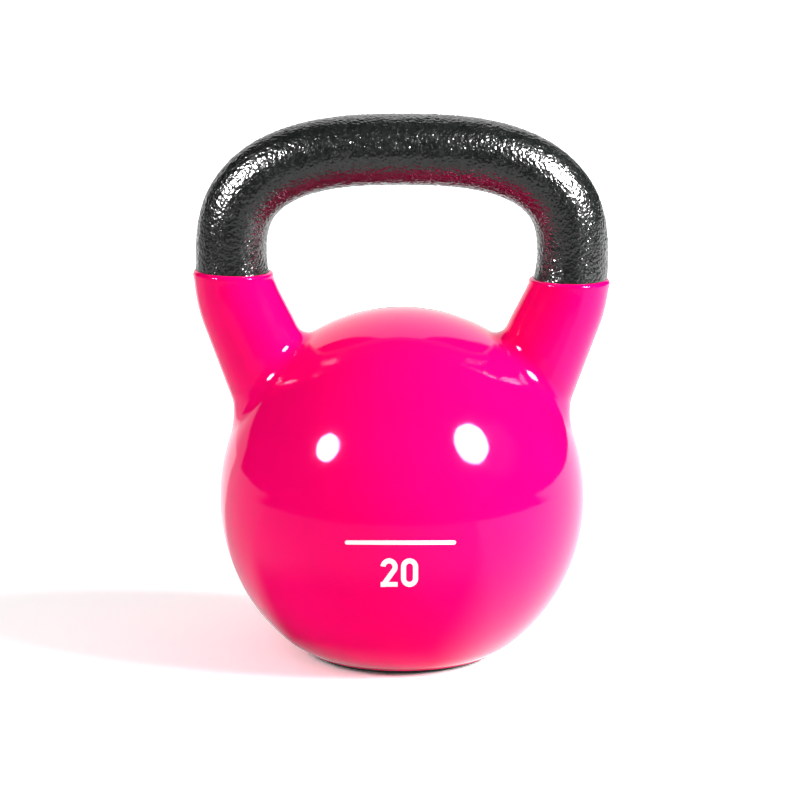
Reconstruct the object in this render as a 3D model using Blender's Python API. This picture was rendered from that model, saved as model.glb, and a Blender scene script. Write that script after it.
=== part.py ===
"""A kettlebell with a vinyl-dipped ball.

It is made of four pieces: a grey-iron casting (ball, two horns and handle in one pour),
a dipped vinyl coat over the ball and the horns, a rubber base pad, and the disc of
double-sided tape that holds the pad on.

Metres, +Z up. The origin is the centre of the pad's underside, on which the kettlebell
stands. +X runs along the handle's bar, and the marked face looks towards -Y.
"""

import math

import bmesh
import bpy
from mathutils import Vector

# Ball, as cast: a hemisphere below, and a slightly taller half above
BALL_RADIUS = 0.0847
BALL_TOP_ABOVE_CENTRE = 0.0885
FOOT_ROLL_RADIUS = 0.0385  # near the base the iron curves in faster, to this radius
FOOT_ROLL_END = math.radians(69.26)  # how far below level the coat's side faces at its bottom edge

# Handle: a round bar bent to a superellipse arch between two upright legs
BAR_RADIUS = 0.0167
HANDLE_HALF_SPAN = 0.0794  # from the middle to the centre line of a leg
ARCH_FOOT_ABOVE_CENTRE = 0.1156  # where the legs end and the arch begins, above the ball's centre
ARCH_RISE = 0.0497  # from the arch's foot to the bar's centre line
ARCH_FULLNESS = 2.67  # the superellipse's exponent: 2 is an ellipse, and more is squarer

# Horns: the legs bend inwards and flare as they run down into the ball
HORN_BEND_RADIUS = 0.0688
HORN_LEAN = math.radians(23.5)
HORN_FLARE = 0.0032  # added to the bar's radius where the horn's centre line enters the ball
HORN_BURIAL = 0.034  # how far the horn's centre line runs on inside the ball
FLARE_POWER = 1.15  # 1 is a straight cone, and more keeps the upper part slimmer

# Vinyl coat, from the iron's surface to its own outside
COAT_THICKNESS = 0.0015
COAT_RIM_ABOVE_CENTRE = 0.1070  # the dip line, at the middle
COAT_RIM_TILT = math.radians(1.33)  # the ball went into the vinyl a little askew

# Base: the pad lies just inside the coat's bottom edge, and its lower edge is round
BASE_RADIUS = 0.0449  # the coat's outside at its bottom edge
PAD_INSET = 0.0010  # from the coat's bottom edge in to the pad's side
PAD_THICKNESS = 0.0022
PAD_EDGE_WIDTH = 0.0040  # from the pad's side in to its flat underside
TAPE_INSET = 0.0068  # from the pad's side in to the tape
TAPE_THICKNESS = 0.0006

CLEARANCE = 0.0003  # between two pieces that touch

# Facets
ROUND_SEGMENTS = 48
BALL_STEPS = 18
ROLL_STEPS = 4
PAD_STEPS = 6
BAR_SIDES = 20
ARCH_STEPS = 32
BEND_STEPS = 4
STRAIGHT_STEPS = 4

# Derived sizes
COAT_ROLL_RADIUS = FOOT_ROLL_RADIUS + COAT_THICKNESS
ROLL_CENTRE_OUT = BASE_RADIUS - COAT_ROLL_RADIUS * math.cos(FOOT_ROLL_END)
FOOT_ROLL_START = math.acos(ROLL_CENTRE_OUT / (BALL_RADIUS - FOOT_ROLL_RADIUS))
ROLL_CENTRE_DOWN = (BALL_RADIUS - FOOT_ROLL_RADIUS) * math.sin(FOOT_ROLL_START)
BASE_HEIGHT = PAD_THICKNESS + CLEARANCE  # the casting's flat base and the coat's bottom edge
BALL_CENTRE = BASE_HEIGHT + COAT_ROLL_RADIUS * math.sin(FOOT_ROLL_END) + ROLL_CENTRE_DOWN
ARCH_FOOT = BALL_CENTRE + ARCH_FOOT_ABOVE_CENTRE
PAD_RADIUS = BASE_RADIUS - PAD_INSET
TAPE_RADIUS = PAD_RADIUS - TAPE_INSET


def clear_scene():
    for obj in list(bpy.data.objects):
        bpy.data.objects.remove(obj, do_unlink=True)


def material(name, color, roughness, metallic):
    made = bpy.data.materials.new(name)
    made.use_nodes = True
    shader = made.node_tree.nodes["Principled BSDF"]
    shader.inputs["Base Color"].default_value = (*color, 1)
    shader.inputs["Roughness"].default_value = roughness
    shader.inputs["Metallic"].default_value = metallic
    made.diffuse_color = (*color, 1)
    return made


def mesh_object(name, mesh_builder, paint=None):
    """An object from a bmesh, smooth on its round faces and sharp at its edges."""
    mesh = bpy.data.meshes.new(name)
    bmesh.ops.recalc_face_normals(mesh_builder, faces=mesh_builder.faces)
    mesh_builder.to_mesh(mesh)
    mesh_builder.free()
    mesh.shade_smooth()
    mesh.set_sharp_from_angle(angle=math.radians(35))
    obj = bpy.data.objects.new(name, mesh)
    bpy.context.scene.collection.objects.link(obj)
    if paint:
        mesh.materials.append(paint)
    return obj


def as_tool(obj):
    """Marks a shape that only cuts or joins others, so it isn't a piece itself."""
    obj.hide_render = True
    obj.display_type = "WIRE"
    return obj


def boolean(target, operation, tool):
    modifier = target.modifiers.new(f"{operation.lower()} {tool.name}", "BOOLEAN")
    modifier.operation = operation
    modifier.solver = "EXACT"
    modifier.object = as_tool(tool)


def turned(name, profile, paint=None):
    """A solid turned about Z from (radius, height) points that start and end on the axis."""
    builder = bmesh.new()
    points = [builder.verts.new((radius, 0, height)) for radius, height in profile]
    edges = [builder.edges.new(pair) for pair in zip(points, points[1:])]
    bmesh.ops.spin(
        builder,
        geom=points + edges,
        axis=(0, 0, 1),
        cent=(0, 0, 0),
        angle=2 * math.pi,
        steps=ROUND_SEGMENTS,
        use_merge=True,
    )
    bmesh.ops.remove_doubles(builder, verts=builder.verts, dist=1e-6)
    return mesh_object(name, builder, paint)


def ball_side(offset):
    """Points up the ball's side from its base to just under the top, moved out by offset."""
    roll = FOOT_ROLL_RADIUS + offset
    roll_end = math.asin((BALL_CENTRE - ROLL_CENTRE_DOWN - BASE_HEIGHT) / roll)
    points = []
    for step in range(ROLL_STEPS):
        angle = roll_end + (FOOT_ROLL_START - roll_end) * step / ROLL_STEPS
        height = BALL_CENTRE - ROLL_CENTRE_DOWN - roll * math.sin(angle)
        points.append((ROLL_CENTRE_OUT + roll * math.cos(angle), height))
    for step in range(BALL_STEPS):
        angle = -FOOT_ROLL_START + (FOOT_ROLL_START + math.pi / 2) * step / BALL_STEPS
        upright = (BALL_RADIUS if angle < 0 else BALL_TOP_ABOVE_CENTRE) + offset
        radius = (BALL_RADIUS + offset) * math.cos(angle)
        points.append((radius, BALL_CENTRE + upright * math.sin(angle)))
    return points


def ball(name, offset, paint=None, plug=0):
    """The ball with its surface moved out by offset, and below its flat base a round plug."""
    side = ball_side(offset)
    bottom = BASE_HEIGHT - plug
    if plug:
        side.insert(0, (side[0][0], bottom))
    top = BALL_CENTRE + BALL_TOP_ABOVE_CENTRE + offset
    return turned(name, [(0, bottom), *side, (0, top)], paint)


def straight_run():
    """Length of the horn's straight centre line from the bend to the ball's surface."""
    start = Vector((
        HANDLE_HALF_SPAN - HORN_BEND_RADIUS * (1 - math.cos(HORN_LEAN)),
        ARCH_FOOT_ABOVE_CENTRE - HORN_BEND_RADIUS * math.sin(HORN_LEAN),
    ))
    step = Vector((-math.sin(HORN_LEAN), -math.cos(HORN_LEAN)))
    scale = Vector((1 / BALL_RADIUS, 1 / BALL_TOP_ABOVE_CENTRE))
    start, step = start * scale, step * scale
    a, b, c = step.dot(step), step.dot(start), start.dot(start) - 1
    return (-b - math.sqrt(b * b - a * c)) / a


def horn_stations():
    """(x, z, direction angle, radius) down the right horn, from the arch's foot into the ball.

    The angle is the outward normal's, measured from +X towards +Z.
    """
    bend_length = HORN_BEND_RADIUS * HORN_LEAN
    surface_length = bend_length + straight_run()
    end_length = surface_length + HORN_BURIAL
    lengths = [bend_length * step / BEND_STEPS for step in range(1, BEND_STEPS + 1)]
    rest = end_length - bend_length
    lengths += [bend_length + rest * step / STRAIGHT_STEPS for step in range(1, STRAIGHT_STEPS + 1)]
    stations = []
    for length in lengths:
        turn = min(length, bend_length) / HORN_BEND_RADIUS
        past = max(0, length - bend_length)
        x = HANDLE_HALF_SPAN - HORN_BEND_RADIUS * (1 - math.cos(turn)) - past * math.sin(turn)
        z = ARCH_FOOT - HORN_BEND_RADIUS * math.sin(turn) - past * math.cos(turn)
        flare = (length / surface_length) ** FLARE_POWER
        radius = BAR_RADIUS + HORN_FLARE * flare
        stations.append((x, z, -turn, radius))
    return stations


def arch_stations():
    """The same, over the arch from the right leg to the left."""
    stations = []
    for step in range(ARCH_STEPS + 1):
        angle = math.pi * step / ARCH_STEPS
        across = math.copysign(abs(math.cos(angle)) ** (2 / ARCH_FULLNESS), math.cos(angle))
        along = math.sin(angle) ** (2 / ARCH_FULLNESS) if 0 < step < ARCH_STEPS else 0
        slope_x = math.copysign(abs(across) ** (ARCH_FULLNESS - 1), across) / HANDLE_HALF_SPAN
        slope_z = along ** (ARCH_FULLNESS - 1) / ARCH_RISE
        normal = math.atan2(slope_z, slope_x)
        stations.append((HANDLE_HALF_SPAN * across, ARCH_FOOT + ARCH_RISE * along, normal, BAR_RADIUS))
    return stations


def handle(name, offset, paint=None):
    """The bar from inside the ball, up one horn, over the arch and down the other, moved out by offset."""
    right = horn_stations()
    left = [(-x, z, math.pi - normal, radius) for x, z, normal, radius in right]
    stations = [*reversed(right), *arch_stations(), *left]
    builder = bmesh.new()
    rings = []
    for x, z, normal, radius in stations:
        outward = Vector((math.cos(normal), 0, math.sin(normal)))
        centre = Vector((x, 0, z))
        ring = []
        for side in range(BAR_SIDES):
            turn = 2 * math.pi * side / BAR_SIDES
            spoke = outward * math.cos(turn) + Vector((0, 1, 0)) * math.sin(turn)
            ring.append(builder.verts.new(centre + spoke * (radius + offset)))
        rings.append(ring)
    for lower, upper in zip(rings, rings[1:]):
        for side in range(BAR_SIDES):
            after = (side + 1) % BAR_SIDES
            builder.faces.new((lower[side], lower[after], upper[after], upper[side]))
    builder.faces.new(rings[0])
    builder.faces.new(rings[-1])
    return mesh_object(name, builder, paint)


def above_dip_line(name):
    """A block over everything that was above the vinyl when the ball was dipped."""
    side = 4 * (HANDLE_HALF_SPAN + BALL_RADIUS)
    builder = bmesh.new()
    bmesh.ops.create_cube(builder, size=side)
    bmesh.ops.translate(builder, verts=builder.verts, vec=(0, 0, side / 2))
    block = mesh_object(name, builder)
    block.location = (0, 0, BALL_CENTRE + COAT_RIM_ABOVE_CENTRE)
    block.rotation_euler = (0, COAT_RIM_TILT, 0)
    return block


def iron_casting(paint):
    casting = ball("iron_casting", 0, paint)
    boolean(casting, "UNION", handle("handle_shape", 0, paint))


def vinyl_coat(paint):
    """The coat follows the casting all over, and is open at the dip line and at the base."""
    coat = ball("vinyl_coat", COAT_THICKNESS, paint)
    boolean(coat, "UNION", handle("coat_horn_shape", COAT_THICKNESS, paint))
    boolean(coat, "DIFFERENCE", above_dip_line("above_dip_line"))
    boolean(coat, "DIFFERENCE", handle("coat_handle_hollow", CLEARANCE, paint))
    boolean(coat, "DIFFERENCE", ball("coat_ball_hollow", CLEARANCE, paint, COAT_THICKNESS))


def pad_side():
    """Points up the pad's side: a quarter of an ellipse from the flat underside to the pad's full width."""
    turns = [math.pi / 2 * step / PAD_STEPS for step in range(PAD_STEPS + 1)]
    inner = PAD_RADIUS - PAD_EDGE_WIDTH
    return [(inner + PAD_EDGE_WIDTH * math.sin(t), PAD_THICKNESS * (1 - math.cos(t))) for t in turns]


def base_pad(paint):
    """A rubber foot with a shallow pocket for the tape."""
    pocket_radius = TAPE_RADIUS + CLEARANCE
    pocket_floor = PAD_THICKNESS - TAPE_THICKNESS - CLEARANCE
    pocket = [(pocket_radius, PAD_THICKNESS), (pocket_radius, pocket_floor), (0, pocket_floor)]
    turned("base_pad", [(0, 0), *pad_side(), *pocket], paint)


def pad_tape(paint):
    """A disc of double-sided tape that fills the pad's pocket level with its rim."""
    bottom = PAD_THICKNESS - TAPE_THICKNESS
    profile = [(0, bottom), (TAPE_RADIUS, bottom), (TAPE_RADIUS, PAD_THICKNESS), (0, PAD_THICKNESS)]
    turned("pad_tape", profile, paint)


def build():
    clear_scene()
    iron_casting(material("black hammered enamel", (0.008, 0.010, 0.009), 0.25, 0))
    vinyl_coat(material("pink vinyl", (0.93, 0.001, 0.12), 0.08, 0))
    base_pad(material("black rubber", (0.015, 0.015, 0.015), 0.8, 0))
    pad_tape(material("white foam tape", (0.75, 0.74, 0.70), 0.7, 0))


build()
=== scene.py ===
"""The looks of the kettlebell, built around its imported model.

The casting's handle gets its hammered enamel as real relief, the vinyl coat its fillets and rolled rims,
and the ball its printed rule and number. Everything is in metres, in the model's frame: +Z up, +X along
the handle's bar, and the marked face towards -Y.
"""

import math

import bmesh
import bpy
import numpy as np
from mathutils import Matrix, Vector, noise

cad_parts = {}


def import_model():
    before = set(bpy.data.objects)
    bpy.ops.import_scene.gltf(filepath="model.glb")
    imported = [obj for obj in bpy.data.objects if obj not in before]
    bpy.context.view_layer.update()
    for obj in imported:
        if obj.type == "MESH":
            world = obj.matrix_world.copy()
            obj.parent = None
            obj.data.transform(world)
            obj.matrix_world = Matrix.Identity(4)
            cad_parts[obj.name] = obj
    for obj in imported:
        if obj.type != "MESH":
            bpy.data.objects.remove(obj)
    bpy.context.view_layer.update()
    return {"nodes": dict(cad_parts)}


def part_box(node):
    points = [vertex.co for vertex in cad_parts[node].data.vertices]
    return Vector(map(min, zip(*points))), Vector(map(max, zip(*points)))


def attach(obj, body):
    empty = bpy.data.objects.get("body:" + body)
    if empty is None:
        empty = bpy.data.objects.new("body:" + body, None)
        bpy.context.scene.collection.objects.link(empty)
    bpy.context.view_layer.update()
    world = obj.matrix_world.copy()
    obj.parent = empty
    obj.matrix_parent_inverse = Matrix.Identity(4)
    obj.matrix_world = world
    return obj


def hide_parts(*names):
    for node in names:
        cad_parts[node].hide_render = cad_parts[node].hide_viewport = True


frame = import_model()

# The solids' own sizes
BALL_RADIUS = 0.0847
BALL_TOP_ABOVE_CENTRE = 0.0885
FOOT_ROLL_RADIUS = 0.0385
FOOT_ROLL_END = math.radians(69.26)
BAR_RADIUS = 0.0167
HANDLE_HALF_SPAN = 0.0794
ARCH_FOOT_ABOVE_CENTRE = 0.1156
ARCH_RISE = 0.0497
ARCH_FULLNESS = 2.67
HORN_BEND_RADIUS = 0.0688
HORN_LEAN = math.radians(23.5)
HORN_FLARE = 0.0032
HORN_BURIAL = 0.034
FLARE_POWER = 1.15
COAT_THICKNESS = 0.0015
COAT_RIM_ABOVE_CENTRE = 0.1070
COAT_RIM_TILT = math.radians(1.33)
BASE_RADIUS = 0.0449
PAD_EDGE_WIDTH = 0.0040
BASE_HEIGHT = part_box("iron_casting")[0].z
COAT_RADIUS = BALL_RADIUS + COAT_THICKNESS
COAT_TOP_ABOVE_CENTRE = BALL_TOP_ABOVE_CENTRE + COAT_THICKNESS
COAT_ROLL_RADIUS = FOOT_ROLL_RADIUS + COAT_THICKNESS
ROLL_CENTRE_OUT = BASE_RADIUS - COAT_ROLL_RADIUS * math.cos(FOOT_ROLL_END)
FOOT_ROLL_START = math.acos(ROLL_CENTRE_OUT / (BALL_RADIUS - FOOT_ROLL_RADIUS))
ROLL_CENTRE_DOWN = (BALL_RADIUS - FOOT_ROLL_RADIUS) * math.sin(FOOT_ROLL_START)
BALL_CENTRE = BASE_HEIGHT + COAT_ROLL_RADIUS * math.sin(FOOT_ROLL_END) + ROLL_CENTRE_DOWN
ARCH_FOOT = BALL_CENTRE + ARCH_FOOT_ABOVE_CENTRE

# Relief and edges
PEBBLE = 0.0021  # width of one bump of the hammered enamel
PEBBLE_DEPTH = 0.00034
PEBBLE_WANDER = 0.35  # how far the bumps stray from plain cells, in bumps
VALLEY_WIDTH = 0.55  # between two bumps, in bumps
PEBBLE_UNEVEN = 0.18  # share of the depth by which the bumps' heights differ
RELIEF_ROW = 0.00054  # spacing of the handle's rows of vertices
RELIEF_SIDES = 196
LIP_HEIGHT = 0.0018  # the coat's rim rolls in over this length
NECK_DIP = 0.00018  # how much thinner the coat is just under its rim
NECK_HEIGHT = 0.017
FILLET = 0.0065  # where a horn runs into the ball
JUNCTION = 0.011  # the mesh is finer within this distance of both
JUNCTION_EDGE = 0.0011
COAT_GRIP = 0.00005  # between the coat's inside and the iron
EDGE_ROUND = 0.0006

# Print, laid out on a plane square to its own axis and pressed onto the ball along it
PRINT_AXIS_LEAN = math.radians(13)
PRINT_THICKNESS = 0.00005
RULE_CENTRE = (-0.0007, -0.0197)
RULE_SIZE = (0.0500, 0.0019)
DIGIT_HEIGHT = 0.0130
DIGIT_WIDTH = 0.0077
DIGIT_GAP = 0.0015
DIGIT_STROKE = 0.0023
DIGIT_CENTRE = (-0.0012, -0.0333)


# ---------------------------------------------------------------- the bar's centre line

HORN_SAMPLES = 500
ARCH_SAMPLES = 6001


def path_samples():
    """Close (x, z, normal angle, radius) rows from the right horn's buried end to the left one's."""
    bend = HORN_BEND_RADIUS * HORN_LEAN
    surface = bend + straight_run()
    lengths = np.linspace(surface + HORN_BURIAL, 0, HORN_SAMPLES, endpoint=False)
    turn = np.minimum(lengths, bend) / HORN_BEND_RADIUS
    past = np.maximum(0, lengths - bend)
    x = HANDLE_HALF_SPAN - HORN_BEND_RADIUS * (1 - np.cos(turn)) - past * np.sin(turn)
    z = ARCH_FOOT - HORN_BEND_RADIUS * np.sin(turn) - past * np.cos(turn)
    radius = BAR_RADIUS + HORN_FLARE * (lengths / surface) ** FLARE_POWER
    right = np.column_stack([x, z, -turn, radius])
    left = right[::-1] * [-1, 1, -1, 1] + [0, 0, math.pi, 0]
    angle = np.linspace(0, math.pi, ARCH_SAMPLES)
    across = np.sign(np.cos(angle)) * np.abs(np.cos(angle)) ** (2 / ARCH_FULLNESS)
    along = np.maximum(np.sin(angle), 0) ** (2 / ARCH_FULLNESS)
    slope_x = np.sign(across) * np.abs(across) ** (ARCH_FULLNESS - 1) / HANDLE_HALF_SPAN
    slope_z = along ** (ARCH_FULLNESS - 1) / ARCH_RISE
    normal = np.arctan2(slope_z, slope_x)
    arch = np.column_stack([
        HANDLE_HALF_SPAN * across, ARCH_FOOT + ARCH_RISE * along, normal, np.full(len(angle), BAR_RADIUS)
    ])
    return np.vstack([right, arch, left])


def straight_run():
    """Length of the horn's straight centre line from the bend to the ball's surface."""
    start = Vector((
        HANDLE_HALF_SPAN - HORN_BEND_RADIUS * (1 - math.cos(HORN_LEAN)),
        ARCH_FOOT_ABOVE_CENTRE - HORN_BEND_RADIUS * math.sin(HORN_LEAN),
    ))
    step = Vector((-math.sin(HORN_LEAN), -math.cos(HORN_LEAN)))
    scale = Vector((1 / BALL_RADIUS, 1 / BALL_TOP_ABOVE_CENTRE))
    start, step = start * scale, step * scale
    a, b, c = step.dot(step), step.dot(start), start.dot(start) - 1
    return (-b - math.sqrt(b * b - a * c)) / a


PATH = path_samples()
PATH_LENGTH = np.concatenate([[0], np.cumsum(np.hypot(*np.diff(PATH[:, :2], axis=0).T))])


def path_at(lengths):
    """x, z, normal angle and radius at these lengths along the centre line."""
    return [np.interp(lengths, PATH_LENGTH, PATH[:, column]) for column in range(4)]


def tube_points(lengths, turns, offset):
    """Points on the bar: lengths and turns broadcast together, and so does offset from its surface."""
    x, z, normal, radius = path_at(lengths)
    reach = radius + offset
    out = reach * np.cos(turns)
    back = reach * np.sin(turns) + 0 * x
    return np.stack([x + out * np.cos(normal), back, z + out * np.sin(normal)], axis=-1)


def rim_length(turns, side):
    """Where the dip line crosses the bar, as lengths from that end; side is 1 for the right horn."""
    total = PATH_LENGTH[-1]
    slope = -math.tan(COAT_RIM_TILT)
    low, high = np.zeros(len(turns)), np.full(len(turns), total / 4)
    for _ in range(40):
        middle = (low + high) / 2
        lengths = middle if side > 0 else total - middle
        points = tube_points(lengths, turns, COAT_THICKNESS)
        above = points[:, 2] > BALL_CENTRE + COAT_RIM_ABOVE_CENTRE + slope * points[:, 0]
        low, high = np.where(above, low, middle), np.where(above, middle, high)
    return low


# ---------------------------------------------------------------- meshes

def mesh_object(name, points, faces, paint):
    mesh = bpy.data.meshes.new(name)
    mesh.from_pydata(points.tolist(), [], faces)
    mesh.validate()
    mesh.shade_smooth()
    mesh.materials.append(paint)
    obj = bpy.data.objects.new(name, mesh)
    bpy.context.scene.collection.objects.link(obj)
    return obj


def rings_object(name, rings, paint=None):
    """A closed tube through rings of points, with a flat cap on each end."""
    count, sides = rings.shape[:2]
    points = rings.reshape(-1, 3)
    faces = []
    for row in range(count - 1):
        a, b = row * sides, (row + 1) * sides
        faces += [(a + i, a + (i + 1) % sides, b + (i + 1) % sides, b + i) for i in range(sides)]
    faces.append(tuple(range(sides))[::-1])
    faces.append(tuple(range((count - 1) * sides, count * sides)))
    obj = mesh_object(name, points, faces, paint)
    face_out(obj)
    return obj


def turned_object(name, profile, segments, paint=None):
    """A solid turned about Z from (radius, height) points that start and end on the axis."""
    turns = np.arange(segments) * 2 * math.pi / segments
    inner = np.array(profile[1:-1])
    out, height = inner[:, :1], np.repeat(inner[:, 1:], segments, axis=1)
    rings = np.stack([out * np.cos(turns), out * np.sin(turns), height], axis=-1)
    count = len(inner)
    points = np.vstack([rings.reshape(-1, 3), [[0, 0, profile[0][1]]], [[0, 0, profile[-1][1]]]])
    first, last = count * segments, count * segments + 1
    faces = []
    for row in range(count - 1):
        a, b = row * segments, (row + 1) * segments
        faces += [(a + i, a + (i + 1) % segments, b + (i + 1) % segments, b + i) for i in range(segments)]
    top = (count - 1) * segments
    faces += [(first, (i + 1) % segments, i) for i in range(segments)]
    faces += [(last, top + i, top + (i + 1) % segments) for i in range(segments)]
    obj = mesh_object(name, points, faces, paint)
    face_out(obj)
    return obj


def face_out(obj):
    builder = bmesh.new()
    builder.from_mesh(obj.data)
    bmesh.ops.recalc_face_normals(builder, faces=builder.faces)
    builder.to_mesh(obj.data)
    builder.free()


def combine(target, operation, tool):
    """Applies a Boolean and removes the tool."""
    modifier = target.modifiers.new(operation, "BOOLEAN")
    modifier.operation = operation
    modifier.solver = "MANIFOLD"
    modifier.object = tool
    graph = bpy.context.evaluated_depsgraph_get()
    graph.update()
    result = bpy.data.meshes.new_from_object(target.evaluated_get(graph))
    target.modifiers.clear()
    target.data = result
    bpy.data.objects.remove(tool, do_unlink=True)


def ball_profile(offset, rows, edge=0, plug=0):
    """(radius, height) points from the axis at the base, out and up the ball's side to the top.

    The surface is moved out by offset. Edge rounds the base's corner, and plug lowers the base.
    """
    roll = FOOT_ROLL_RADIUS + offset
    roll_end = math.asin((BALL_CENTRE - ROLL_CENTRE_DOWN - BASE_HEIGHT - edge) / roll)
    turns = np.linspace(roll_end, FOOT_ROLL_START, max(4, rows // 6))[:-1]
    foot_side = np.column_stack([
        ROLL_CENTRE_OUT + roll * np.cos(turns), BALL_CENTRE - ROLL_CENTRE_DOWN - roll * np.sin(turns)
    ])
    turns = np.linspace(-FOOT_ROLL_START, math.pi / 2, rows)[:-1]
    upright = np.where(turns < 0, BALL_RADIUS, BALL_TOP_ABOVE_CENTRE) + offset
    side = np.column_stack([(BALL_RADIUS + offset) * np.cos(turns), BALL_CENTRE + upright * np.sin(turns)])
    start = foot_side[0, 0]
    bottom = BASE_HEIGHT - plug
    foot = [(0, bottom)]
    if edge:
        reach = start - edge
        foot += [(reach * share, bottom) for share in (0.3, 0.6, 0.85)]
        foot += [
            (reach + edge * math.sin(turn), bottom + edge * (1 - math.cos(turn)))
            for turn in np.linspace(0, math.pi / 2, 7)[:-1]
        ]
    elif plug:
        foot.append((start, bottom))
    top = BALL_CENTRE + BALL_TOP_ABOVE_CENTRE + offset
    return [*foot, *map(tuple, foot_side), *map(tuple, side), (0, top)]


# ---------------------------------------------------------------- the pieces

def hammered(points):
    """Depth of the enamel's relief at each point, from 0 on a bump's top to 1 in the valleys."""
    depths = np.empty(len(points))
    for index, point in enumerate(points / PEBBLE):
        place = Vector(point)
        place += PEBBLE_WANDER * noise.noise_vector(place * 0.7)
        near = noise.voronoi(place)[0]
        ridge = min(1, (near[1] - near[0]) / VALLEY_WIDTH)
        height = 1 - PEBBLE_UNEVEN + PEBBLE_UNEVEN * noise.noise(place * 0.45)
        depths[index] = 1 - ridge * (2 - ridge) * height
    return depths


def iron_casting(paint):
    turns = np.arange(RELIEF_SIDES) * 2 * math.pi / RELIEF_SIDES
    total = PATH_LENGTH[-1]
    rim = rim_length(turns, 1).min() - 2 * LIP_HEIGHT
    visible = np.linspace(rim, total - rim, round((total - 2 * rim) / RELIEF_ROW))
    buried = np.linspace(0, rim, 14)[:-1]
    lengths = np.concatenate([buried, visible, total - buried[::-1]])
    grid = lengths[:, None] + 0 * turns[None, :]
    surface = tube_points(grid.ravel(), np.tile(turns, len(lengths)), 0)
    past_rim = np.clip(np.minimum(lengths, total - lengths) - rim, 0, LIP_HEIGHT) / LIP_HEIGHT
    shown = np.repeat(past_rim, len(turns))
    depth = np.zeros(len(surface))
    depth[shown > 0] = hammered(surface[shown > 0])
    offset = -PEBBLE_DEPTH * (depth * shown)
    points = tube_points(grid.ravel(), np.tile(turns, len(lengths)), offset)
    handle = rings_object("iron_casting_handle_shape", points.reshape(len(lengths), len(turns), 3), paint)
    casting = turned_object("iron_casting_shape", ball_profile(0, 60), 128, paint)
    combine(casting, "UNION", handle)
    casting.name = "cast_iron_body"
    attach(casting, "root")
    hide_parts("iron_casting")


def coat_horn(side, paint):
    """One horn of the coat as a solid, with its rim rolled in at the dip line."""
    sides = 144
    turns = np.arange(sides) * 2 * math.pi / sides
    rim = rim_length(turns, side)
    lip = LIP_HEIGHT * (1 - np.cos(np.linspace(0, math.pi / 2, 10)))
    neck = np.linspace(LIP_HEIGHT, NECK_HEIGHT, 16)[1:]
    rest = np.linspace(NECK_HEIGHT, rim.min(), 60)[1:]
    rows = []
    for drop in np.concatenate([lip, neck, rest]):
        level = max(0, drop - NECK_HEIGHT) / (rim.min() - NECK_HEIGHT)
        lengths = (rim - drop) * (1 - level) + (rim.min() - drop) * level
        roll = math.sqrt(max(0, 1 - (1 - min(1, drop / LIP_HEIGHT)) ** 2))
        below = np.clip((drop - LIP_HEIGHT) / (NECK_HEIGHT - LIP_HEIGHT), 0, 1)
        dip = NECK_DIP * math.sin(math.pi * below**0.45) ** 2
        offset = (5 * roll - 2) / 3 * COAT_THICKNESS - dip
        along = lengths if side > 0 else PATH_LENGTH[-1] - lengths
        rows.append(tube_points(along, turns, offset))
    return rings_object(f"coat_horn_{side}", np.array(rows), paint)


def ball_distance(points):
    """Distance to the coat's ball and its gradient."""
    scale = np.array([COAT_RADIUS, COAT_RADIUS, COAT_TOP_ABOVE_CENTRE])
    place = points - [0, 0, BALL_CENTRE]
    size = np.linalg.norm(place / scale, axis=1)
    slope = place / scale**2
    steep = np.linalg.norm(slope, axis=1)
    return (size - 1) * size / steep, slope / steep[:, None]


def horn_distance(points):
    """Distance to the nearer horn's coat and its gradient."""
    total = PATH_LENGTH[-1]
    lengths = np.linspace(0, total / 4, 400)
    x, z, normal, radius = path_at(lengths)
    side = np.where(points[:, 0] < 0, -1, 1)
    flat = np.column_stack([points[:, 0] * side, points[:, 2]])
    line = np.column_stack([x, z])
    nearest = np.empty(len(flat), int)
    for start in range(0, len(flat), 4000):
        block = flat[start : start + 4000]
        nearest[start : start + 4000] = ((block[:, None] - line[None]) ** 2).sum(2).argmin(1)
    nearest = np.clip(nearest, 1, len(lengths) - 1)
    step = line[nearest] - line[nearest - 1]
    share = ((flat - line[nearest - 1]) * step).sum(1) / (step**2).sum(1)
    share = np.where(nearest > 1, share, np.clip(share, 0, None))
    foot = line[nearest - 1] + step * share[:, None]
    reach = radius[nearest - 1] + (radius[nearest] - radius[nearest - 1]) * share + COAT_THICKNESS
    away = np.column_stack([(flat - foot)[:, 0] * side, points[:, 1], (flat - foot)[:, 1]])
    size = np.linalg.norm(away, axis=1)
    return size - reach, away / size[:, None]


def blended_surface(points):
    """The coat's outside as a distance and a gradient, with a round fillet between ball and horns."""
    ball, ball_slope = ball_distance(points)
    horn, horn_slope = horn_distance(points)
    u = np.maximum(FILLET - ball, 0)
    v = np.maximum(FILLET - horn, 0)
    size = np.hypot(u, v)
    near = size > 1e-9
    both = (u > 0) & (v > 0)
    distance = np.where(near, np.maximum(FILLET, np.minimum(ball, horn)) - size, np.minimum(ball, horn))
    mixed = (u[:, None] * ball_slope + v[:, None] * horn_slope) / np.where(near, size, 1)[:, None]
    nearest = np.where((ball < horn)[:, None], ball_slope, horn_slope)
    slope = np.where(both[:, None], mixed, nearest)
    return distance, slope


def vertex_array(mesh):
    points = np.empty(len(mesh.vertices) * 3)
    mesh.vertices.foreach_get("co", points)
    return points.reshape(-1, 3)


def in_junction(points, reach):
    near = np.zeros(len(points), bool)
    upper = points[:, 2] > BALL_CENTRE + BALL_TOP_ABOVE_CENTRE / 4
    ball, _ = ball_distance(points[upper])
    horn, _ = horn_distance(points[upper])
    near[upper] = (np.abs(ball) < reach) & (np.abs(horn) < reach)
    return near


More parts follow.
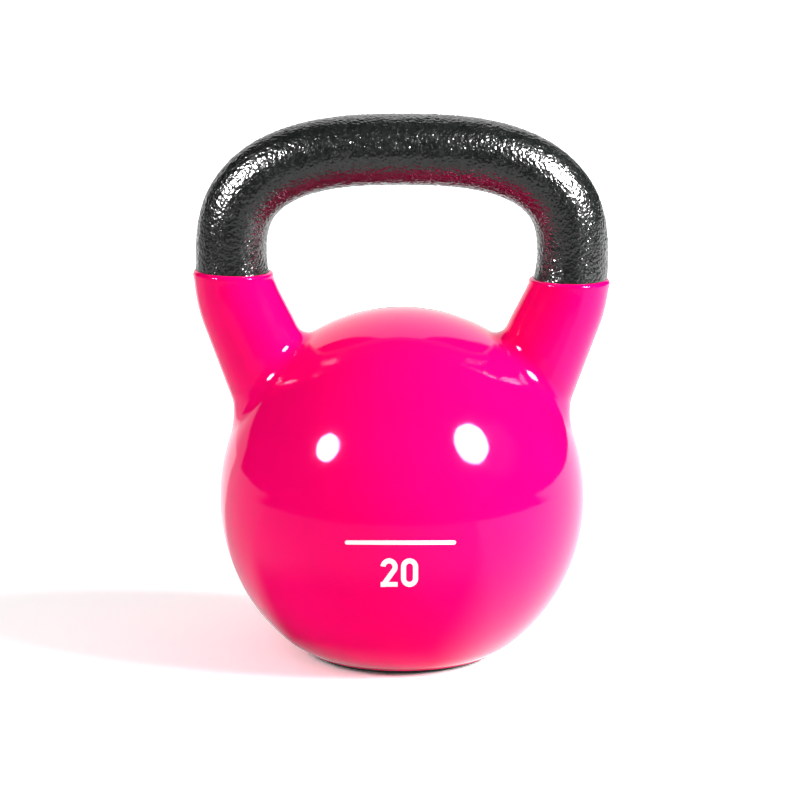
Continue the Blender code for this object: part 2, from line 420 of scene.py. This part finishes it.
def refine_junction(mesh):
    """Makes the mesh finer where the horns meet the ball, and lays it on the rounded surface there."""
    builder = bmesh.new()
    builder.from_mesh(mesh)
    for _ in range(2):
        near = in_junction(np.array([vertex.co for vertex in builder.verts]), JUNCTION)
        builder.verts.index_update()
        faces = [face for face in builder.faces if all(near[vertex.index] for vertex in face.verts)]
        bmesh.ops.triangulate(builder, faces=faces)
        edges = [
            edge for edge in builder.edges
            if all(near[vertex.index] for vertex in edge.verts) and edge.calc_length() > JUNCTION_EDGE
        ]
        bmesh.ops.subdivide_edges(builder, edges=edges, cuts=1)
    bmesh.ops.triangulate(builder, faces=[face for face in builder.faces if len(face.verts) > 4])
    near = in_junction(np.array([vertex.co for vertex in builder.verts]), JUNCTION)
    builder.verts.index_update()
    inner = [vertex for vertex in builder.verts if near[vertex.index]]
    bmesh.ops.remove_doubles(builder, verts=inner, dist=JUNCTION_EDGE / 4)
    slivers = [face for face in builder.faces if sum(edge.is_boundary for edge in face.edges) > 1]
    bmesh.ops.delete(builder, geom=slivers, context="FACES")
    near = in_junction(np.array([vertex.co for vertex in builder.verts]), JUNCTION)
    builder.verts.index_update()
    inner = [vertex for vertex in builder.verts if near[vertex.index]]
    for _ in range(10):
        bmesh.ops.smooth_vert(
            builder, verts=inner, factor=0.5, use_axis_x=True, use_axis_y=True, use_axis_z=True
        )
        points = np.array([vertex.co for vertex in inner])
        for _ in range(3):
            distance, slope = blended_surface(points)
            points = points - distance[:, None] * slope
        for vertex, point in zip(inner, points):
            vertex.co = point
    builder.to_mesh(mesh)
    builder.free()


def smooth_junction(mesh):
    """Gives the corners in the junction the normals of the surface that they lie on."""
    mesh.shade_smooth()
    mesh.set_sharp_from_angle(angle=math.radians(40))
    corners = np.empty(len(mesh.loops) * 3, np.float32)
    mesh.corner_normals.foreach_get("vector", corners)
    corners = corners.reshape(-1, 3)
    points = vertex_array(mesh)
    near = np.flatnonzero(in_junction(points, JUNCTION))
    distance, slope = blended_surface(points[near])
    outer = np.abs(distance) < COAT_THICKNESS / 20
    normals = np.zeros((len(points), 3))
    normals[near[outer]] = slope[outer]
    vertices = np.empty(len(mesh.loops), np.int32)
    mesh.loops.foreach_get("vertex_index", vertices)
    chosen = normals[vertices]
    agree = (chosen * corners).sum(1) > 0.5
    corners[agree] = chosen[agree]
    mesh.normals_split_custom_set(corners)


def vinyl_coat(paint):
    outside = ball_profile(COAT_THICKNESS, 115, edge=EDGE_ROUND)
    coat = turned_object("coat_ball_shape", outside, 240, paint)
    for side in (1, -1):
        combine(coat, "UNION", coat_horn(side, paint))
    refine_junction(coat.data)
    turns = np.arange(96) * 2 * math.pi / 96
    lengths = np.linspace(0, PATH_LENGTH[-1], 160)
    hollow = tube_points(np.repeat(lengths, 96), np.tile(turns, 160), COAT_GRIP).reshape(160, 96, 3)
    combine(coat, "DIFFERENCE", rings_object("coat_handle_hollow", hollow, paint))
    inside = ball_profile(COAT_GRIP, 48, plug=COAT_THICKNESS)
    combine(coat, "DIFFERENCE", turned_object("coat_ball_hollow", inside, 96, paint))
    smooth_junction(coat.data)
    coat.name = "pink_vinyl_dip"
    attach(coat, "root")
    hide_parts("vinyl_coat")


def base_pad(paint):
    """The rubber foot, with a round lower edge and its pocket for the tape."""
    low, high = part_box("base_pad")
    tape_low, tape_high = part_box("pad_tape")
    tall = high.z - low.z
    inner = high.x - PAD_EDGE_WIDTH
    turns = np.linspace(0, math.pi / 2, 16)
    side = [(inner + PAD_EDGE_WIDTH * math.sin(t), low.z + tall * (1 - math.cos(t))) for t in turns[:-1]]
    gap = BASE_HEIGHT - high.z
    corner = EDGE_ROUND / 3
    pocket_radius = tape_high.x + gap
    pocket_floor = tape_low.z - gap
    profile = [
        (0, low.z),
        *[(inner * share, low.z) for share in (0.2, 0.4, 0.6, 0.8, 0.94)],
        *side,
        (high.x, high.z - corner),
        (high.x - corner, high.z),
        (pocket_radius + corner, high.z),
        (pocket_radius, high.z - corner),
        (pocket_radius, pocket_floor),
        (0, pocket_floor),
    ]
    pad = turned_object("rubber_foot", profile, 160, paint)
    pad.data.shade_smooth()
    pad.data.set_sharp_from_angle(angle=math.radians(40))
    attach(pad, "root")
    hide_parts("base_pad")


def pad_tape(paint):
    tape = frame["nodes"]["pad_tape"]
    tape.data.materials.clear()
    tape.data.materials.append(paint)


# ---------------------------------------------------------------- the print

def ribbon(path, width, closed=False):
    """A flat outline of a constant width along (u, v) points, as two rows of points."""
    path = np.array(path)
    if closed:
        ahead, behind = np.roll(path, -1, axis=0), np.roll(path, 1, axis=0)
    else:
        ahead = np.vstack([path[1:], 2 * path[-1] - path[-2]])
        behind = np.vstack([2 * path[0] - path[1], path[:-1]])
    along = ahead - behind
    along /= np.linalg.norm(along, axis=1)[:, None]
    across = np.column_stack([-along[:, 1], along[:, 0]]) * width / 2
    return path + across, path - across


def arc(centre, radii, start, end, steps):
    angles = np.radians(np.linspace(start, end, steps))
    return [(centre[0] + radii[0] * math.cos(a), centre[1] + radii[1] * math.sin(a)) for a in angles]


def slab(name, rows, closed, paint):
    """A thin solid from two rows of (u, v) points that face each other."""
    left, right = rows
    count = len(left)
    thick = 0.001
    points = [(u, v, w) for w in (-thick, thick) for row in (left, right) for u, v in row]
    faces = []
    for i in range(count if closed else count - 1):
        j = (i + 1) % count
        faces += [
            (i, j, count + j, count + i),
            (2 * count + i, 3 * count + i, 3 * count + j, 2 * count + j),
            (i, 2 * count + i, 2 * count + j, j),
            (count + i, count + j, 3 * count + j, 3 * count + i),
        ]
    if not closed:
        last = count - 1
        faces += [
            (0, count, 3 * count, 2 * count),
            (last, 2 * count + last, 3 * count + last, count + last),
        ]
    obj = mesh_object(name, np.array(points), faces, paint)
    face_out(obj)
    return obj


def rule_shape(paint):
    """A bar with round ends."""
    half, radius = RULE_SIZE[0] / 2, RULE_SIZE[1] / 2
    u, v = RULE_CENTRE
    turns = np.radians(np.linspace(90, 0, 8))
    ends = half - radius + radius * np.cos(turns)
    spread = radius * np.sin(turns)
    middle = np.linspace(-half + radius, half - radius, 60)[1:-1]
    across = np.concatenate([-ends[::-1], middle, ends])
    tall = np.concatenate([spread[::-1], np.full(len(middle), radius), spread])
    keep = tall > radius / 100
    across, tall = across[keep], tall[keep]
    rows = np.column_stack([u + across, v + tall]), np.column_stack([u + across, v - tall])
    return slab("white_rule", rows, False, paint)


def digit_zero(u, v, paint):
    """An upright stadium."""
    radius = (DIGIT_WIDTH - DIGIT_STROKE) / 2
    top, bottom = v + DIGIT_HEIGHT / 2 - DIGIT_STROKE / 2, v - DIGIT_HEIGHT / 2 + DIGIT_STROKE / 2
    path = arc((u, top - radius), (radius, radius), 0, 180, 22)
    path += [(u - radius, v + step) for step in np.linspace(0.3, -0.3, 5) * DIGIT_HEIGHT][1:-1]
    path += arc((u, bottom + radius), (radius, radius), 180, 360, 22)
    path += [(u + radius, v + step) for step in np.linspace(-0.3, 0.3, 5) * DIGIT_HEIGHT][1:-1]
    return slab("white_digit_0", ribbon(path, DIGIT_STROKE, True), True, paint)


def digit_two(u, v, paint):
    """A bow, a slanting stem and a foot, cut square to the digit's own box."""
    half = DIGIT_STROKE / 2
    left, right = u - DIGIT_WIDTH / 2, u + DIGIT_WIDTH / 2
    top, bottom = v + DIGIT_HEIGHT / 2, v - DIGIT_HEIGHT / 2
    radius = (DIGIT_WIDTH - DIGIT_STROKE) / 2
    bow = arc((u, top - half - radius), (radius, radius), 176, -36, 26)
    stem_foot = Vector((left + 0.6 * half, bottom + 0.2 * half))
    stem_head = Vector(bow[-1])
    path = [*bow[:-1], *[tuple(stem_head.lerp(stem_foot, s)) for s in np.linspace(0, 1.1, 14)]]
    stem = slab("white_digit_2", ribbon(path, DIGIT_STROKE), False, paint)
    foot = ribbon([(left, bottom + half), (u, bottom + half), (right, bottom + half)], DIGIT_STROKE * 0.92)
    combine(stem, "UNION", slab("digit_foot", foot, False, paint))
    box = ribbon([(left, v), (right, v)], DIGIT_HEIGHT)
    combine(stem, "INTERSECT", slab("digit_box", box, False, paint))
    return stem


def press_on_ball(obj):
    """Cuts a flat slab into strips that can bend, and lays it on the ball as a film."""
    builder = bmesh.new()
    builder.from_mesh(obj.data)
    low = min(vertex.co.x for vertex in builder.verts)
    high = max(vertex.co.x for vertex in builder.verts)
    for place in np.arange(low, high, 0.0009)[1:]:
        whole = [*builder.verts, *builder.edges, *builder.faces]
        bmesh.ops.bisect_plane(builder, geom=whole, plane_co=(place, 0, 0), plane_no=(1, 0, 0))
    low = min(vertex.co.y for vertex in builder.verts)
    high = max(vertex.co.y for vertex in builder.verts)
    for place in np.arange(low, high, 0.0009)[1:]:
        whole = [*builder.verts, *builder.edges, *builder.faces]
        bmesh.ops.bisect_plane(builder, geom=whole, plane_co=(0, place, 0), plane_no=(0, 1, 0))
    axis = Vector((0, -math.cos(PRINT_AXIS_LEAN), math.sin(PRINT_AXIS_LEAN)))
    rise = Vector((0, math.sin(PRINT_AXIS_LEAN), math.cos(PRINT_AXIS_LEAN)))
    for vertex in builder.verts:
        place = Vector((vertex.co.x, 0, 0)) + rise * vertex.co.y
        place += axis * math.sqrt(COAT_RADIUS**2 - place.length_squared)
        film = PRINT_THICKNESS if vertex.co.z > 0 else -PRINT_THICKNESS / 4
        vertex.co = place * (1 + film / COAT_RADIUS) + Vector((0, 0, BALL_CENTRE))
    bmesh.ops.recalc_face_normals(builder, faces=builder.faces)
    builder.to_mesh(obj.data)
    builder.free()
    obj.data.shade_smooth()
    obj.data.set_sharp_from_angle(angle=math.radians(40))
    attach(obj, "root")


def printed_marks(paint):
    step = (DIGIT_WIDTH + DIGIT_GAP) / 2
    u, v = DIGIT_CENTRE
    for mark in (rule_shape(paint), digit_two(u - step, v, paint), digit_zero(u + step, v, paint)):
        press_on_ball(mark)


# ---------------------------------------------------------------- materials

class Nodes:
    """A material's node tree, built by short calls."""

    def __init__(self, name):
        self.material = bpy.data.materials.new(name)
        self.material.use_nodes = True
        self.tree = self.material.node_tree
        self.shader = self.tree.nodes["Principled BSDF"]
        self.place = self.add("ShaderNodeTexCoord").outputs["Object"]

    def add(self, kind, **values):
        node = self.tree.nodes.new(kind)
        for name, value in values.items():
            if hasattr(value, "links"):
                self.tree.links.new(value, node.inputs[name])
            elif name in node.inputs:
                node.inputs[name].default_value = value
            else:
                setattr(node, name, value)
        return node

    def link(self, output, socket):
        self.tree.links.new(output, self.shader.inputs[socket])

    def noise(self, size, detail=3, rough=0.5):
        """Noise whose patches are about size metres wide."""
        return self.add(
            "ShaderNodeTexNoise", Vector=self.place, Scale=1 / size, Detail=detail, Roughness=rough
        ).outputs["Fac"]

    def cells(self, size, feature="F1"):
        node = self.add("ShaderNodeTexVoronoi", feature=feature)
        node.inputs["Scale"].default_value = 1 / size
        self.tree.links.new(self.place, node.inputs["Vector"])
        return node.outputs["Distance"]

    def spread(self, value, low, high, start=0.3, end=0.7):
        """value's range from start to end, mapped to low to high."""
        node = self.add("ShaderNodeMapRange")
        self.tree.links.new(value, node.inputs["Value"])
        for name, number in (("From Min", start), ("From Max", end), ("To Min", low), ("To Max", high)):
            node.inputs[name].default_value = number
        return node.outputs["Result"]

    def blend(self, share, first, second):
        node = self.add("ShaderNodeMix", data_type="RGBA")
        self.tree.links.new(share, node.inputs["Factor"])
        for socket, color in zip((node.inputs[6], node.inputs[7]), (first, second)):
            if isinstance(color, tuple):
                socket.default_value = (*color, 1)
            else:
                self.tree.links.new(color, socket)
        return node.outputs[2]

    def bump(self, height, depth, before=None):
        """A bump whose highest point stands depth metres over its lowest."""
        node = self.add("ShaderNodeBump")
        node.inputs["Strength"].default_value = 1
        node.inputs["Distance"].default_value = depth
        self.tree.links.new(height, node.inputs["Height"])
        if before is not None:
            self.tree.links.new(before, node.inputs["Normal"])
        return node.outputs["Normal"]

    def set(self, **values):
        for name, value in values.items():
            self.shader.inputs[name.replace("_", " ")].default_value = value


def hammered_enamel():
    nodes = Nodes("black hammered enamel")
    fine = nodes.noise(0.0007, 2)
    patch = nodes.noise(0.012, 4)
    color = nodes.blend(nodes.spread(patch, 0, 1), (0.0045, 0.0060, 0.0055), (0.0105, 0.0125, 0.0115))
    nodes.link(color, "Base Color")
    nodes.link(nodes.spread(nodes.noise(0.003, 4), 0.15, 0.26), "Roughness")
    nodes.link(nodes.bump(nodes.cells(0.0011, "SMOOTH_F1"), 0.00024, nodes.bump(fine, 0.00007)), "Normal")
    nodes.set(Specular_IOR_Level=1.0)
    return nodes.material


def pink_vinyl():
    nodes = Nodes("pink dipped vinyl")
    patch = nodes.noise(0.035, 3)
    color = nodes.blend(nodes.spread(patch, 0, 1), (0.93, 0.0004, 0.128), (0.97, 0.0007, 0.140))
    nodes.link(color, "Base Color")
    nodes.link(nodes.spread(nodes.noise(0.006, 5), 0.055, 0.085), "Roughness")
    peel = nodes.bump(nodes.noise(0.011, 1), 0.00004)
    nodes.link(nodes.bump(nodes.noise(0.0009, 2), 0.0000016, peel), "Normal")
    nodes.set(Specular_IOR_Level=0.5, Specular_Tint=(1.0, 0.17, 0.45, 1.0))
    return nodes.material


def black_rubber():
    nodes = Nodes("black rubber")
    patch = nodes.spread(nodes.noise(0.008, 4), 0, 1)
    color = nodes.blend(patch, (0.010, 0.010, 0.010), (0.022, 0.021, 0.020))
    nodes.link(color, "Base Color")
    nodes.link(nodes.spread(nodes.noise(0.002, 4), 0.62, 0.85), "Roughness")
    nodes.link(nodes.bump(nodes.noise(0.0005, 3), 0.00005), "Normal")
    nodes.set(Specular_IOR_Level=0.35)
    return nodes.material


def foam_tape():
    nodes = Nodes("white foam tape")
    color = nodes.blend(nodes.spread(nodes.noise(0.006, 3), 0, 1), (0.66, 0.65, 0.60), (0.78, 0.77, 0.73))
    nodes.link(color, "Base Color")
    nodes.link(nodes.spread(nodes.noise(0.002, 3), 0.65, 0.85), "Roughness")
    nodes.link(nodes.bump(nodes.cells(0.0006), 0.00008), "Normal")
    return nodes.material


def white_ink():
    nodes = Nodes("white ink")
    color = nodes.blend(nodes.spread(nodes.noise(0.0012, 4), 0, 1), (0.84, 0.84, 0.84), (0.93, 0.93, 0.93))
    nodes.link(color, "Base Color")
    nodes.link(nodes.spread(nodes.noise(0.0008, 3), 0.32, 0.46), "Roughness")
    nodes.link(nodes.bump(nodes.noise(0.0004, 2), 0.000006), "Normal")
    return nodes.material


# ---------------------------------------------------------------- studio

FLOOR_HALF = 9.0
FLOOR_COLOR = 0.7
FLOOR_LIFT = 0.9  # added to the floor's colour where the camera sees it, so that it turns white
FAR_FLOOR_GLOW = 0.8  # the same for the far floor, which the lamps don't reach
ROOM_LIGHT = 0.45  # from all round, on matt surfaces
BACKDROP_GLOW = 1.7  # what shiny surfaces mirror

# Painted light and shade on the floor, which only shiny surfaces see, in levels of white
TABLE_EDGE = 1.0  # to the sides and in front it ends here
# a painted pool of light to the right, standing in for the key lamp's light on the floor
FLOOR_RIGHT_PAINTED_LIGHT = 1.9
FLOOR_LEFT = 0.8
# painted light on the floor under and just round the foot
FLOOR_FOOT_PAINTED_LIGHT = 0.5
# painted shade on the floor in front of the foot, with painted light rising further out
FLOOR_FRONT_PAINTED_SHADE = 0.05
FLOOR_FRONT_RISE = 0.55  # added further out in front
# painted shade on the floor far behind the handle
FLOOR_FAR_SHADE = 0.85  # taken away far behind the handle

# Name, place, radius, watts, and whether shiny surfaces mirror the lamp or it only lights
LAMPS = (
    ("key_light", (1.74, -0.62, 1.06), 0.55, 96, False),
    ("key_lamp_face", (1.37, -1.01, 1.261), 0.39, 230, True),
    ("fill_light", (-1.54, -1.05, 1.24), 0.26, 19, False),
    ("fill_lamp_face", (-1.455, -0.992, 1.175), 0.26, 125, True),
)

CAMERA_AIM = Vector((-0.0009, 0, 0.1212))
CAMERA_DISTANCE = 1.7
CAMERA_LEAN = math.radians(12)
CAMERA_LENS = 163.0
SENSOR_WIDTH = 36


class Graph:
    """The emptied node tree of a material or a world, with short calls for arithmetic."""

    def __init__(self, owner):
        owner.use_nodes = True
        self.tree = owner.node_tree
        self.tree.nodes.clear()

    def node(self, kind):
        return self.tree.nodes.new(kind)

    def link(self, output, socket):
        self.tree.links.new(output, socket)

    def math(self, operation, *inputs):
        node = self.node("ShaderNodeMath")
        node.operation = operation
        for socket, value in zip(node.inputs, inputs):
            if hasattr(value, "links"):
                self.link(value, socket)
            else:
                socket.default_value = value
        return node.outputs[0]

    def add(self, first, second):
        return self.math("ADD", first, second)

    def times(self, value, *factors):
        for factor in factors:
            value = self.math("MULTIPLY", value, factor)
        return value

    def larger(self, first, second):
        return self.math("MAXIMUM", first, second)

    def less_than_whole(self, share):
        return self.math("SUBTRACT", 1, share)

    def step(self, value, edge, width):
        """0 below the edge and 1 above it, with a soft change that is this wide."""
        node = self.node("ShaderNodeMapRange")
        node.interpolation_type = "SMOOTHSTEP"
        self.link(value, node.inputs["Value"])
        node.inputs["From Min"].default_value = edge - width / 2
        node.inputs["From Max"].default_value = edge + width / 2
        return node.outputs["Result"]


def painted_floor_light_and_shade(graph, x, y, reach):
    """Painted light and shade on the floor, as shiny surfaces see it: brightest to the right of and behind
    the object, with painted shade in front of the foot and far behind the handle.
    """
    near = graph.less_than_whole(graph.step(reach, TABLE_EDGE, 0.05))
    shown = graph.larger(near, graph.step(y, 0.15, 0.3))
    # painted pool of light to the right and behind
    right = graph.step(graph.add(x, y), -0.02, 0.07)
    left = graph.step(y, -0.005, 0.05)
    # painted light under and round the foot
    foot = graph.less_than_whole(graph.step(reach, 0.058, 0.020))
    # painted shade in front of the foot, rising to painted light further out
    front = graph.add(graph.times(graph.step(reach, 0.16, 0.08), FLOOR_FRONT_RISE), FLOOR_FRONT_PAINTED_SHADE)
    level = graph.larger(graph.times(right, FLOOR_RIGHT_PAINTED_LIGHT), front)
    level = graph.larger(graph.times(left, FLOOR_LEFT), level)
    level = graph.larger(graph.times(foot, FLOOR_FOOT_PAINTED_LIGHT), level)
    # painted shade far behind the handle, across its middle
    middle = graph.less_than_whole(graph.step(graph.math("ABSOLUTE", x), 0.20, 0.08))
    shade = graph.times(middle, graph.step(y, 0.70, 0.2), FLOOR_FAR_SHADE)
    return graph.times(level, shown, graph.less_than_whole(shade))


def floor_material():
    """A pale sweep, which is white where the camera sees it out of the object's shadow, and which glows
    with painted light and shade for shiny surfaces.
    """
    paint = bpy.data.materials.new("white floor")
    graph = Graph(paint)
    place = graph.node("ShaderNodeSeparateXYZ")
    graph.link(graph.node("ShaderNodeNewGeometry").outputs["Position"], place.inputs[0])
    x, y = place.outputs["X"], place.outputs["Y"]
    reach = graph.math("SQRT", graph.add(graph.times(x, x), graph.times(y, y)))
    rays = graph.node("ShaderNodeLightPath").outputs
    matt = graph.node("ShaderNodeBsdfDiffuse")
    graph.link(graph.add(graph.times(rays["Is Camera Ray"], FLOOR_LIFT), FLOOR_COLOR), matt.inputs["Color"])
    lift = graph.node("ShaderNodeEmission")
    far = graph.step(reach, 1.1, 1.6)
    graph.link(graph.times(far, rays["Is Camera Ray"], FAR_FLOOR_GLOW), lift.inputs["Strength"])
    plain = graph.node("ShaderNodeAddShader")
    graph.link(matt.outputs[0], plain.inputs[0])
    graph.link(lift.outputs[0], plain.inputs[1])
    # for shiny surfaces the floor glows with painted light and shade, not lit by the lamps
    mirrored = graph.node("ShaderNodeEmission")
    graph.link(painted_floor_light_and_shade(graph, x, y, reach), mirrored.inputs["Strength"])
    mix = graph.node("ShaderNodeMixShader")
    graph.link(rays["Is Glossy Ray"], mix.inputs[0])
    graph.link(plain.outputs[0], mix.inputs[1])
    graph.link(mirrored.outputs[0], mix.inputs[2])
    graph.link(mix.outputs[0], graph.node("ShaderNodeOutputMaterial").inputs["Surface"])
    return paint


def mirrored_backdrop(graph):
    """How bright shiny surfaces find each direction: a white arched backdrop in a dark room."""
    split = graph.node("ShaderNodeSeparateXYZ")
    graph.link(graph.node("ShaderNodeTexCoord").outputs["Generated"], split.inputs[0])
    x, y, z = split.outputs
    ahead = graph.larger(y, 0.001)
    side = graph.math("DIVIDE", x, ahead)
    rise = graph.math("DIVIDE", z, ahead)
    spread = graph.math("DIVIDE", side, 0.42)
    top = graph.math("DIVIDE", 2.1, graph.add(1, graph.times(spread, spread)))
    under = graph.step(graph.math("SUBTRACT", top, rise), 0.0, 0.03)
    left = graph.step(side, -1.4, 0.06)
    right = graph.less_than_whole(graph.step(side, 0.5, 0.06))
    facing = graph.step(y, 0.02, 0.02)
    fade = graph.add(graph.times(graph.step(side, -0.8, 0.5), 0.5), 0.5)
    return graph.times(under, left, right, facing, fade, BACKDROP_GLOW)


def world():
    """White for the camera, soft light from all round, and a backdrop for shiny surfaces."""
    made = bpy.data.worlds.new("studio")
    bpy.context.scene.world = made
    graph = Graph(made)
    rays = graph.node("ShaderNodeLightPath").outputs
    glossy = graph.times(mirrored_backdrop(graph), rays["Is Glossy Ray"])
    plain = graph.times(rays["Is Diffuse Ray"], ROOM_LIGHT)
    level = graph.add(graph.add(glossy, plain), rays["Is Camera Ray"])
    background = graph.node("ShaderNodeBackground")
    graph.link(level, background.inputs["Strength"])
    graph.link(background.outputs[0], graph.node("ShaderNodeOutputWorld").inputs["Surface"])


def floor():
    mesh = bpy.data.meshes.new("floor")
    corners = [(x * FLOOR_HALF, y * FLOOR_HALF, 0) for x, y in ((-1, -1), (1, -1), (1, 1), (-1, 1))]
    mesh.from_pydata(corners, [], [(0, 1, 2, 3)])
    mesh.materials.append(floor_material())
    made = bpy.data.objects.new("floor", mesh)
    bpy.context.scene.collection.objects.link(made)


def round_lamp(name, place, radius, watts, mirrored):
    """A round lamp that faces the ball. Shiny surfaces mirror it, or else it only lights."""
    data = bpy.data.lights.new(name, "AREA")
    data.shape = "DISK"
    data.size = 2 * radius
    data.energy = watts
    lamp = bpy.data.objects.new(name, data)
    bpy.context.scene.collection.objects.link(lamp)
    lamp.location = place
    aim = Vector((0, 0, BALL_CENTRE)) - Vector(place)
    lamp.rotation_euler = aim.to_track_quat("-Z", "Y").to_euler()
    lamp.visible_camera = False
    lamp.visible_glossy = mirrored
    lamp.visible_diffuse = not mirrored


def camera():
    data = bpy.data.cameras.new("camera")
    data.lens = CAMERA_LENS
    data.sensor_width = SENSOR_WIDTH
    made = bpy.data.objects.new("camera", data)
    bpy.context.scene.collection.objects.link(made)
    away = Vector((0, -math.cos(CAMERA_LEAN), math.sin(CAMERA_LEAN)))
    made.location = CAMERA_AIM + CAMERA_DISTANCE * away
    made.rotation_euler = (math.pi / 2 - CAMERA_LEAN, 0, 0)
    bpy.context.scene.camera = made


def studio():
    floor()
    world()
    for lamp in LAMPS:
        round_lamp(*lamp)
    camera()
    bpy.context.scene.view_settings.view_transform = "Standard"


# ---------------------------------------------------------------- all together

studio()
iron_casting(hammered_enamel())
vinyl_coat(pink_vinyl())
base_pad(black_rubber())
pad_tape(foam_tape())
printed_marks(white_ink())
